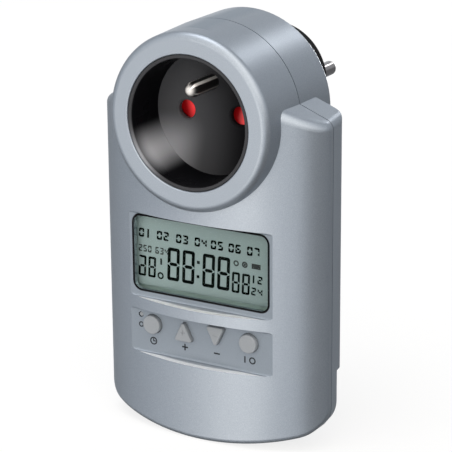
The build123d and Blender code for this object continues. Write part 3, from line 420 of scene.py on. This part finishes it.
moulded("black_plug", (0.009, 0.009, 0.010), 0.8, ("plug_base",), Specular_IOR_Level=0.1)
moulded("grey_block", (0.09, 0.09, 0.10), 0.5, ("contact_block",))
moulded("pale_frame", (0.30, 0.36, 0.35), 0.5, ("lcd_holder", "display_backing"))
moulded("soft_strip", (0.06, 0.06, 0.065), 0.7, ("zebra_strip",))
moulded("switch_black", (0.03, 0.03, 0.034), 0.45,
        ("key_switches", "mode_stem", "up_stem", "down_stem", "ok_stem", "board_header"))
moulded("resin_drop", (0.014, 0.014, 0.014), 0.3, ("controller_chip",), 400.0, 0.08 * mm)
moulded("relay_blue", (0.05, 0.10, 0.26), 0.35, ("relay_base", "relay_cover"))
moulded("yellow_box", (0.50, 0.36, 0.05), 0.35, ("film_capacitor",))
moulded("blue_coat", (0.03, 0.08, 0.30), 0.4, ("varistor",), 300.0, 0.06 * mm)
moulded("green_lacquer", (0.12, 0.28, 0.24), 0.4, ("fuse_resistor",), 500.0, 0.05 * mm)

# Boards and coil. Glass fibre under green lacquer, screwed to posts, with tracks that show as a faint relief.
# The relay's coil is wound from enamelled copper wire.
board = Finish("board_green", Roughness=0.35, Coat_Weight=0.4, Coat_Roughness=0.2)
tracks = board.node("ShaderNodeTexWave", {"wave_type": "BANDS", "bands_direction": "X"},
                    {"Vector": board.place, "Scale": 120.0, "Distortion": 6.0, "Detail": 1.0})
tracks = tracks.between(0.45, 0.6)
board.paint("Base Color", board.mixed(tracks, (0.02, 0.13, 0.05), (0.05, 0.22, 0.09)))
board.emboss(tracks, 0.03 * mm, 0.6)
board.on("display_board", "power_board")
winding = Finish("enamelled_wire", Roughness=0.3, Metallic=1.0)
turns = winding.node("ShaderNodeTexWave", {"wave_type": "BANDS", "bands_direction": "Y"},
                     {"Vector": winding.place, "Scale": 1600.0})
winding.paint("Base Color", winding.mixed(turns, (0.25, 0.09, 0.04), (0.62, 0.26, 0.11)))
winding.emboss(turns, 0.05 * mm, 0.8)
winding.on("relay_coil")

# Display cell. Two glasses under a greenish grey polariser, clipped into a pale frame behind the window.
# Painted shade makes it a little darker towards the right and into the corners. Its rear glass shows as a
# ledge painted pale, as painted light.
cell_low, cell_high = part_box("lcd_glass")
cell = Finish("display_cell")
across_cell = (cell.along("X") - (cell_low.x + cell_high.x) / 2) * (2 / (cell_high.x - cell_low.x))
up_cell = (cell.along("Z") - (cell_low.z + cell_high.z) / 2) * (2 / (cell_high.z - cell_low.z))
# Painted shade: darker towards the right and into the corners.
painted_cell_shade = across_cell * 0.5 + 0.5 + (across_cell.size() ** 4.0 + up_cell.size() ** 4.0) * 0.1
polariser = cell.mixed(painted_cell_shade.between(0.1, 1.3), (0.283, 0.318, 0.33), (0.195, 0.225, 0.236))
# Painted light: the ledge of the rear glass is painted pale.
on_rear_glass = cell.along("Y").between(cell_low.y + 0.6 * mm, cell_low.y + 0.8 * mm)
cell.paint("Base Color", cell.mixed(on_rear_glass, polariser, (0.42, 0.49, 0.48)))
cell.paint("Roughness", cell.noise(1500.0) * 0.1 + 0.3)
cell.on("lcd_glass")


# Figures of the display. Each segment is a thin flat shape of dark liquid crystal on the front of the cell.
# The small figures above the hours and the row of symbols are only partly driven, so they are faint.
def shapes(name, outlines, front, proud, finish, body="case"):
    """A piece of flat shapes, given as (x, z) points in mm, that stand proud mm in front of y = front mm."""
    sheet = bmesh.new()
    for outline in outlines:
        sheet.faces.new([sheet.verts.new((x * mm, front * mm, z * mm)) for x, z in outline])
    lifted = bmesh.ops.extrude_face_region(sheet, geom=sheet.faces[:])
    moved = [part for part in lifted["geom"] if isinstance(part, bmesh.types.BMVert)]
    bmesh.ops.translate(sheet, verts=moved, vec=(0.0, -proud * mm, 0.0))
    bmesh.ops.recalc_face_normals(sheet, faces=sheet.faces[:])
    mesh = bpy.data.meshes.new(name)
    sheet.to_mesh(mesh)
    sheet.free()
    mesh.materials.append(finish.material)
    made = bpy.data.objects.new(name, mesh)
    bpy.context.scene.collection.objects.link(made)
    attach(made, body)


figure_lean = 0.045
lit_segments = {"0": "abcdef", "1": "i", "2": "abged", "3": "abgcd", "4": "fgbc", "5": "afgcd", "6": "afgedc",
                "7": "abc", "8": "abcdefg", "a": "abcdeg"}


def figure(sign, x, z, size):
    """The outlines of a seven-segment figure about its middle, from its width, height and stroke."""
    width, height, stroke = size
    gap = stroke * 0.1
    cut = stroke * 0.5
    right = width / 2
    top = height / 2
    inner = right - stroke
    under = top - stroke
    half = stroke / 2
    drawn = {
        "a": [(-right + cut, top), (right - cut, top), (right, top - cut), (inner, under), (-inner, under),
              (-right, top - cut)],
        "b": [(right, top - cut), (right, gap), (inner, half + gap), (inner, under)],
        "g": [(-right + half + gap, 0), (-inner + gap, half), (inner - gap, half), (right - half - gap, 0),
              (inner - gap, -half), (-inner + gap, -half)],
        "i": [(-half, top), (half, top), (half, -top), (-half, -top)],
    }
    drawn["d"] = [(a, -b) for a, b in drawn["a"]]
    drawn["c"] = [(a, -b) for a, b in drawn["b"]]
    drawn["f"] = [(-a, b) for a, b in drawn["b"]]
    drawn["e"] = [(-a, -b) for a, b in drawn["b"]]
    return [[(x + a + b * figure_lean, z + b) for a, b in drawn[segment]] for segment in lit_segments[sign]]


def row(text, x, z, size, pitch):
    """Figures side by side about a middle."""
    start = x - pitch * (len(text) - 1) / 2
    return [outline for i, sign in enumerate(text) for outline in figure(sign, start + i * pitch, z, size)]


def ring(x, z, radius, stroke, sides=16):
    """A ring of short straight bars."""
    bars = []
    for i in range(sides):
        ends = [(i + step) * math.tau / sides for step in (0, 1)]
        outer = [(x + radius * math.cos(t), z + radius * math.sin(t)) for t in ends]
        inner = [(x + (radius - stroke) * math.cos(t), z + (radius - stroke) * math.sin(t)) for t in ends]
        bars.append(outer + inner[::-1])
    return bars


def bar(x, z, width, height):
    """A small upright rectangle."""
    right = width / 2
    top = height / 2
    return [[(x - right, z - top), (x + right, z - top), (x + right, z + top), (x - right, z + top)]]


def inked(name, color, clouds, roughness, spread, specular):
    """A flat dark ink whose dullness varies a little."""
    made = Finish(name, Base_Color=color, Specular_IOR_Level=specular)
    made.paint("Roughness", made.noise(clouds) * spread + roughness)
    return made


dark_crystal = inked("dark_crystal", (0.004, 0.005, 0.005), 2000.0, 0.85, 0.1, 0.0)
faint_crystal = inked("faint_crystal", (0.05, 0.05, 0.052), 2000.0, 0.85, 0.1, 0.0)
ink_height = 0.02
time_figure = (4.5, 11.1, 1.12)
second_figure = (2.85, 6.9, 0.78)
program_figure = (2.85, 7.0, 0.78)
day_figure = (2.0, 3.0, 0.66)
half_day_figure = (1.75, 2.6, 0.56)
small_figure = (1.35, 2.3, 0.45)
day_z = -44.05
symbol_z = -48.8
small_z = -49.25
time_z = -53.0
second_z = -55.2
half_day_x = 19.0
days_x = (-22.2, -15.4, -8.2, -1.3, 4.65, 11.1, 17.8)


def on_cell(name, outlines, finish=dark_crystal):
    """Figures on the front of the cell."""
    shapes(name, outlines, cell_low.y / mm, ink_height, finish)


on_cell("hours", row("88", -8.75, time_z, time_figure, 5.58))
on_cell("minutes", row("88", 4.25, time_z, time_figure, 5.48))
on_cell("colon", bar(-2.25, -50.8, 1.0, 1.0) + bar(-2.45, -55.6, 1.0, 1.0))
on_cell("seconds", row("88", 13.25, second_z, second_figure, 3.66))
on_cell("program_number", row("a8", -21.5, second_z, program_figure, 3.66))
for i, x in enumerate(days_x):
    on_cell(f"day_{i + 1}", row(f"0{i + 1}", x, day_z, day_figure, 2.5))
on_cell("half_days",
        row("12", half_day_x, -53.1, half_day_figure, 2.3)
        + row("24", half_day_x, -57.1, half_day_figure, 2.3))
on_cell("on_sign", bar(-16.2, -52.8, 0.65, 2.1) + ring(-16.5, -57.6, 1.2, 0.55))
on_cell("small_words",
        row("250", -22.2, small_z, small_figure, 1.75) + row("634", -15.9, small_z, small_figure, 1.75),
        faint_crystal)
on_cell("symbols",
        ring(11.6, symbol_z, 1.0, 0.5) + ring(14.7, symbol_z, 1.05, 0.5) + bar(14.7, symbol_z, 0.8, 0.8)
        + bar(18.8, symbol_z, 3.2, 1.7), faint_crystal)

# Window. Clear acrylic, set into the panel from inside by a flange, with its face a hair below the paint.
# A thin black line is printed round its edge.
clear = Finish("clear_window")
through = clear.node("ShaderNodeBsdfTransparent", None, {"Color": (0.93, 0.97, 0.96)})
gloss = clear.node("ShaderNodeBsdfAnisotropic", None, {"Color": white, "Roughness": 0.06})
edge_gloss = clear.node("ShaderNodeFresnel", None, {"IOR": 1.45})
window_mix = clear.node("ShaderNodeMixShader", None, {0: edge_gloss ** 2.0 * 0.25, 1: through, 2: gloss})
clear.join(window_mix, clear.tree.nodes["Material Output"].inputs["Surface"])
clear.on("display_window")


def rounded(half_width, half_height, radius, x, z, steps=8):
    """A rectangle with round corners, as (x, z) points in mm."""
    points = []
    for quarter, (side, up) in enumerate(((1, 1), (-1, 1), (-1, -1), (1, -1))):
        for i in range(steps + 1):
            angle = (quarter + i / steps) * math.pi / 2
            points.append((x + side * (half_width - radius) + radius * math.cos(angle),
                           z + up * (half_height - radius) + radius * math.sin(angle)))
    return points


flange = 1.0
side_lap = 0.6
top_lap = -0.05
foot_lap = 0.45
line_width = 0.7
line_corner = 3.3
line_height = 0.03
panel_front = panel_y / mm
half_wide = (window_high.x - window_low.x) / 2 / mm - flange + side_lap
line_top = window_high.z / mm - flange + top_lap
line_foot = window_low.z / mm + flange - foot_lap
line_z = (line_top + line_foot) / 2
half_high = (line_top - line_foot) / 2
outer_line = rounded(half_wide, half_high, line_corner, 0.0, line_z)
inner_line = rounded(half_wide - line_width, half_high - line_width, line_corner - line_width, 0.0, line_z)
count = len(outer_line)
line_parts = [[outer_line[i], outer_line[(i + 1) % count], inner_line[(i + 1) % count], inner_line[i]]
              for i in range(count)]
border_ink = inked("border_ink", (0.003, 0.003, 0.004), 900.0, 0.75, 0.15, 0.1)
shapes("window_border", line_parts, panel_front, line_height, border_ink)

# Keys. Light grey moulded caps with a satin skin, in holes of the panel and over springy switches on the
# display board. The two arrows carry a raised plus and minus.
key_grey = Finish("key_grey", Coat_Weight=0.1, Coat_Roughness=0.35)
speckle = key_grey.noise(2400.0, 2.0)
key_grey.paint("Base Color", key_grey.mixed(speckle, (0.198, 0.215, 0.235), (0.238, 0.255, 0.278)))
key_grey.paint("Roughness", speckle * 0.1 + 0.37)
key_grey.emboss(speckle, 0.02 * mm, 0.5)
key_grey.on("mode_button", "up_button", "down_button", "ok_button", "reset_button")


def key_middle(node):
    """The middle of a key's front, as x, y and z in mm."""
    low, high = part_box(node)
    return (low.x + high.x) / 2 / mm, low.y / mm, (low.z + high.z) / 2 / mm


def plus(x, z, length, stroke):
    """A bar across an upright bar."""
    return bar(x, z, length, stroke) + bar(x, z, stroke, length)


up_x, key_front, key_z = key_middle("up_button")
down_x = key_middle("down_button")[0]
raised_length = 1.6
raised_stroke = 0.32
raised_height = 0.12
off_key_middle = 0.5
shapes("plus_sign", plus(up_x, key_z - off_key_middle, raised_length, raised_stroke), key_front,
       raised_height, key_grey, "up_key")
shapes("minus_sign", bar(down_x, key_z + off_key_middle, raised_length, raised_stroke), key_front,
       raised_height, key_grey, "down_key")

# Printed signs. Black ink on the key panel, put on before the keys are fitted.
# Under the keys stand a clock, a plus, a minus and a bar with a ring, and a small ring marks the reset pin.
ink = inked("panel_ink", (0.012, 0.014, 0.018), 1200.0, 0.5, 0.15, 0.2)
sign_z = -79.2
sign_length = 2.2
mode_x = key_middle("mode_button")[0]
ok_x = key_middle("ok_button")[0]
signs = {
    "clock_mark": (ring(mode_x, sign_z, 1.35, 0.42) + bar(mode_x, sign_z + 0.35, 0.36, 1.0)
                   + bar(mode_x + 0.35, sign_z, 0.85, 0.36)),
    "plus_mark": plus(up_x, sign_z, sign_length, 0.5),
    "minus_mark": bar(down_x, sign_z, sign_length, 0.5),
    "power_mark": bar(ok_x - 1.6, sign_z, 0.48, sign_length) + ring(ok_x + 1.1, sign_z, 1.2, 0.45),
    "reset_mark": ring(-22.4, -74.3, 0.95, 0.4),
}
for name, outlines in signs.items():
    shapes(name, outlines, panel_front, ink_height, ink)
